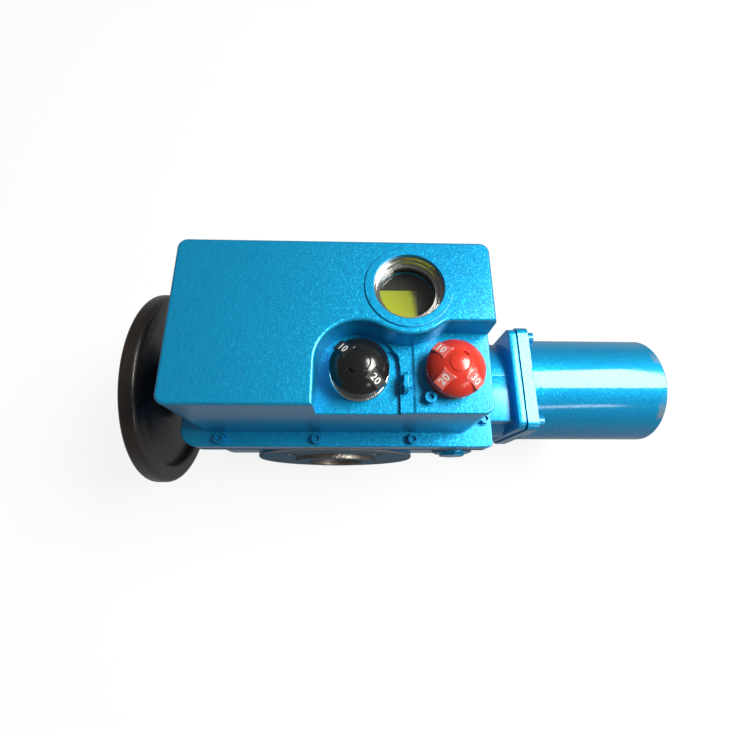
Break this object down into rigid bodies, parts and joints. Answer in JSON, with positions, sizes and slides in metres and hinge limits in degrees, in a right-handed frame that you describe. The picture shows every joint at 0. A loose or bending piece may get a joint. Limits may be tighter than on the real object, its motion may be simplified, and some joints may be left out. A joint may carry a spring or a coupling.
{
  "type": "quarter-turn electric actuator",
  "caption": "Quarter-turn electric actuator: cast cover with window and two knobs, worm gear case with output flange, side motor and handwheel.",
  "frame": {"origin": "centre of the output mounting face, on the output axis", "axes": "+X along the worm axis towards the motor, -Y out of the mounting face along the output axis, +Z out of the control cover; the actuator lies on the flat back of its gear case"},
  "size_m": [0.571, 0.22, 0.3175],
  "materials": {
    "body_paint": "gloss",
    "black_paint": "gloss",
    "black_plastic": "gloss",
    "red_plastic": "gloss",
    "stainless": "polished",
    "dark_steel": "satin",
    "zinc_steel": "satin",
    "bronze": "satin",
    "rubber": "matte",
    "sight_glass": "polished",
    "lcd": "satin",
    "dark_plastic": "matte",
    "pale_plastic": "matte",
    "circuit_board": "satin",
    "copper": "satin",
    "laminated_steel": "matte"
  },
  "bodies": {
    "housing": {"gearbox_housing": "body_paint", "control_cover": "body_paint", "cover_screws": "body_paint", "cover_washers": "body_paint", "window_gasket": "rubber", "window_glass": "sight_glass", "window_ring": "stainless", "display_shroud": "dark_plastic", "display_screen": "lcd", "display_module": "dark_plastic", "display_board": "circuit_board", "display_standoffs": "zinc_steel", "chassis_plate": "zinc_steel", "chassis_pillars": "zinc_steel", "control_board": "circuit_board", "board_standoffs": "zinc_steel", "transformer": "laminated_steel", "motor_contactors": "pale_plastic", "terminal_blocks": "pale_plastic", "black_knob_seat": "stainless", "red_knob_seat": "stainless", "black_switch": "dark_plastic", "red_switch": "dark_plastic", "padlock_lug": "body_paint", "cable_entry_plug": "body_paint", "stop_screws": "zinc_steel", "stop_lock_nuts": "zinc_steel", "output_seal": "rubber", "lower_bush": "bronze", "upper_bush": "bronze", "gear_case_cover": "body_paint", "gear_case_screws": "zinc_steel", "worm_bearings": "dark_steel", "bearing_circlips": "dark_steel", "worm_end_cover": "body_paint", "worm_end_screws": "zinc_steel", "handwheel_seal": "rubber", "motor_adapter": "body_paint", "adapter_screws": "zinc_steel", "motor_gasket": "rubber", "motor_housing": "body_paint", "motor_bolts": "body_paint", "motor_end_shield": "body_paint", "stator": "laminated_steel", "stator_windings": "copper", "motor_bearings": "dark_steel"},
    "worm_drive": {"worm_shaft": "dark_steel", "shaft_coupling": "dark_steel", "motor_shaft": "dark_steel", "motor_rotor": "laminated_steel", "handwheel": "black_paint", "handwheel_washer": "zinc_steel", "handwheel_nut": "zinc_steel"},
    "output_drive": {"output_sleeve": "dark_steel", "worm_wheel": "bronze", "stop_cam": "dark_steel"},
    "black_selector": {"black_knob": "black_plastic", "black_knob_shaft": "stainless"},
    "red_selector": {"red_knob": "red_plastic", "red_knob_shaft": "stainless"}
  },
  "joints": [
    {"name": "worm_turn", "type": "hinge", "parent": "housing", "child": "worm_drive", "pos_m": [0, 0.079, 0.05], "axis": [1, 0, 0], "range_deg": [0, 2700]},
    {"name": "output_turn", "type": "hinge", "parent": "housing", "child": "output_drive", "pos_m": [0, 0, 0], "axis": [0, -1, 0], "range_deg": [0, 90]},
    {"name": "black_knob_turn", "type": "hinge", "parent": "housing", "child": "black_selector", "pos_m": [0.0265, 0.056, 0.2], "axis": [0, 0, 1], "range_deg": [-45, 45], "stiffness_Nm_per_rad": 0.2},
    {"name": "red_knob_turn", "type": "hinge", "parent": "housing", "child": "red_selector", "pos_m": [0.1095, 0.056, 0.2], "axis": [0, 0, 1], "range_deg": [-90, 90]}
  ],
  "couplings": [
    {"joint": "output_turn", "follows": "worm_turn", "ratio": 0.033333}
  ]
}
